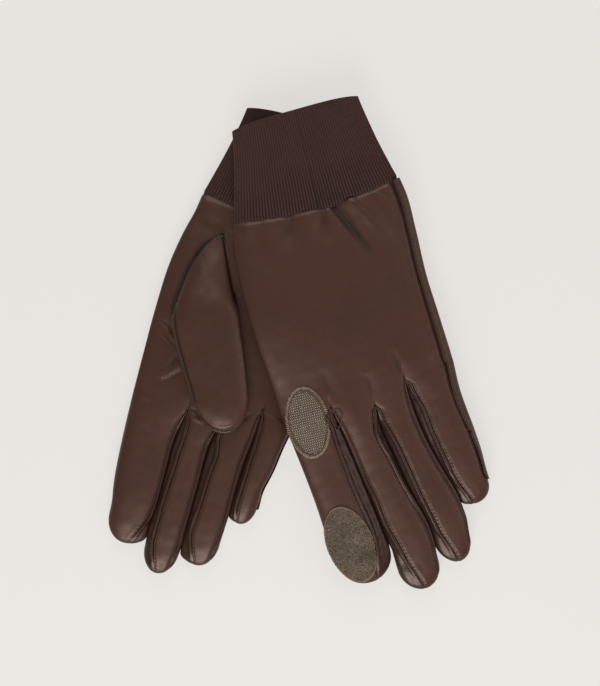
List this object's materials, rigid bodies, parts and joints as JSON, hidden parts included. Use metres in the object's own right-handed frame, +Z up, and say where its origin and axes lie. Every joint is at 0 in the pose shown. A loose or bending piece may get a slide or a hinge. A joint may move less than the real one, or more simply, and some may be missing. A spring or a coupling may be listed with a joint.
{
  "type": "touchscreen gloves",
  "caption": "Brown leather gloves with rib-knit cuffs, laid flat and overlapping; the left index fingertip folds back and is held by an oval hook patch.",
  "frame": {"origin": "middle of the pair's outline, on the table that it lies on", "axes": "+Z up from the table, the cuffs towards +Y and the fingertips towards -Y"},
  "size_m": [0.194, 0.2519, 0.0225],
  "materials": {
    "leather": "smooth, soft gloss",
    "sidewall_leather": "smooth, soft gloss",
    "rib_knit": "matte rib knit",
    "hook_tape": "matte woven hook tape",
    "loop_tape": "matte brushed loop tape"
  },
  "bodies": {
    "right_glove": {"right_back": "leather", "right_cuff": "rib_knit", "right_index_little_side_wall": "sidewall_leather", "right_index_middle_gusset": "sidewall_leather", "right_little_index_side_wall": "sidewall_leather", "right_middle_index_side_wall": "sidewall_leather", "right_middle_little_side_wall": "sidewall_leather", "right_middle_ring_gusset": "sidewall_leather", "right_palm": "leather", "right_ring_index_side_wall": "sidewall_leather", "right_ring_little_gusset": "sidewall_leather", "right_ring_little_side_wall": "sidewall_leather", "right_thumb_root": "leather"},
    "right_thumb": {"right_thumb": "leather"},
    "left_glove": {"left_back": "leather", "left_cuff": "rib_knit", "left_hook_patch": "hook_tape", "left_index_little_side_wall": "sidewall_leather", "left_index_middle_gusset": "sidewall_leather", "left_little_index_side_wall": "sidewall_leather", "left_middle_index_side_wall": "sidewall_leather", "left_middle_little_side_wall": "sidewall_leather", "left_middle_ring_gusset": "sidewall_leather", "left_palm": "leather", "left_ring_index_side_wall": "sidewall_leather", "left_ring_little_gusset": "sidewall_leather", "left_ring_little_side_wall": "sidewall_leather", "left_thumb": "leather", "left_thumb_root": "leather"},
    "left_index_tip": {"left_tip_back": "leather", "left_tip_palm": "leather", "left_tip_wall": "sidewall_leather", "left_loop_patch": "loop_tape"}
  },
  "joints": [
    {"name": "right_thumb_lift", "type": "hinge", "parent": "right_glove", "child": "right_thumb", "pos_m": [-0.04735, 0.01368, 0.01905], "axis": [-0.9902, -0.1397, 0], "range_deg": [0, 65]},
    {"name": "left_glove_lift", "type": "slide", "parent": "right_glove", "child": "left_glove", "axis": [0, 0, 1], "range_m": [0, 0.15]},
    {"name": "left_index_fold_back", "type": "hinge", "parent": "left_glove", "child": "left_index_tip", "pos_m": [0.01865, -0.07073, 0.01786], "axis": [-0.9441, -0.3287, 0.0256], "range_deg": [0, 178]}
  ]
}
